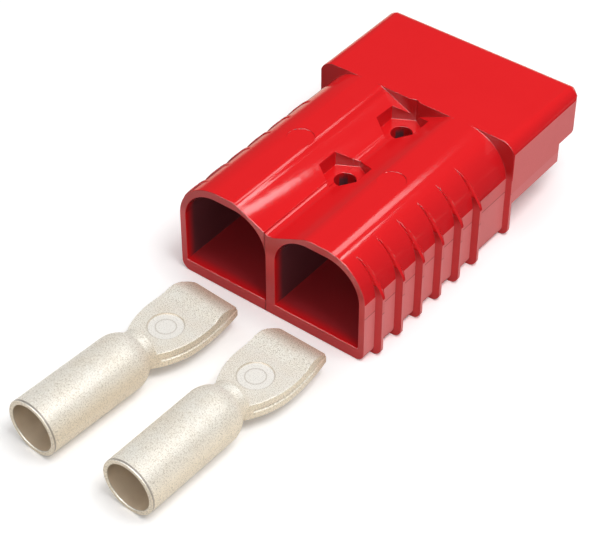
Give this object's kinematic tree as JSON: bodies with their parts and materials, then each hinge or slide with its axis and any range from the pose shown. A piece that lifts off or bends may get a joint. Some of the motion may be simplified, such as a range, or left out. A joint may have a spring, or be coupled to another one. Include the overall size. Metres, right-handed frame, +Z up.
{
  "type": "genderless power connector",
  "caption": "Genderless power connector housing with arched cable openings, side grip ribs, a mating hood, retention springs and loose crimp contacts.",
  "frame": {"origin": "on the base face, on the centre line, midway between the two screw holes", "axes": "+Y along the housing towards the mating hood, +Z up out of the nut recesses, +X to the right seen from the cable face"},
  "size_m": [0.0696, 0.1849, 0.0339],
  "materials": {
    "housing_plastic": "moulded polycarbonate, red, satin top and fine-textured sides",
    "contact_metal": "silver-plated copper, dull, with a tarnished tip",
    "spring_steel": "rolled stainless strip"
  },
  "bodies": {
    "root": {"housing": "housing_plastic", "contact_left": "contact_metal", "contact_right": "contact_metal", "spring_left": "spring_steel", "spring_right": "spring_steel"}
  },
  "joints": []
}
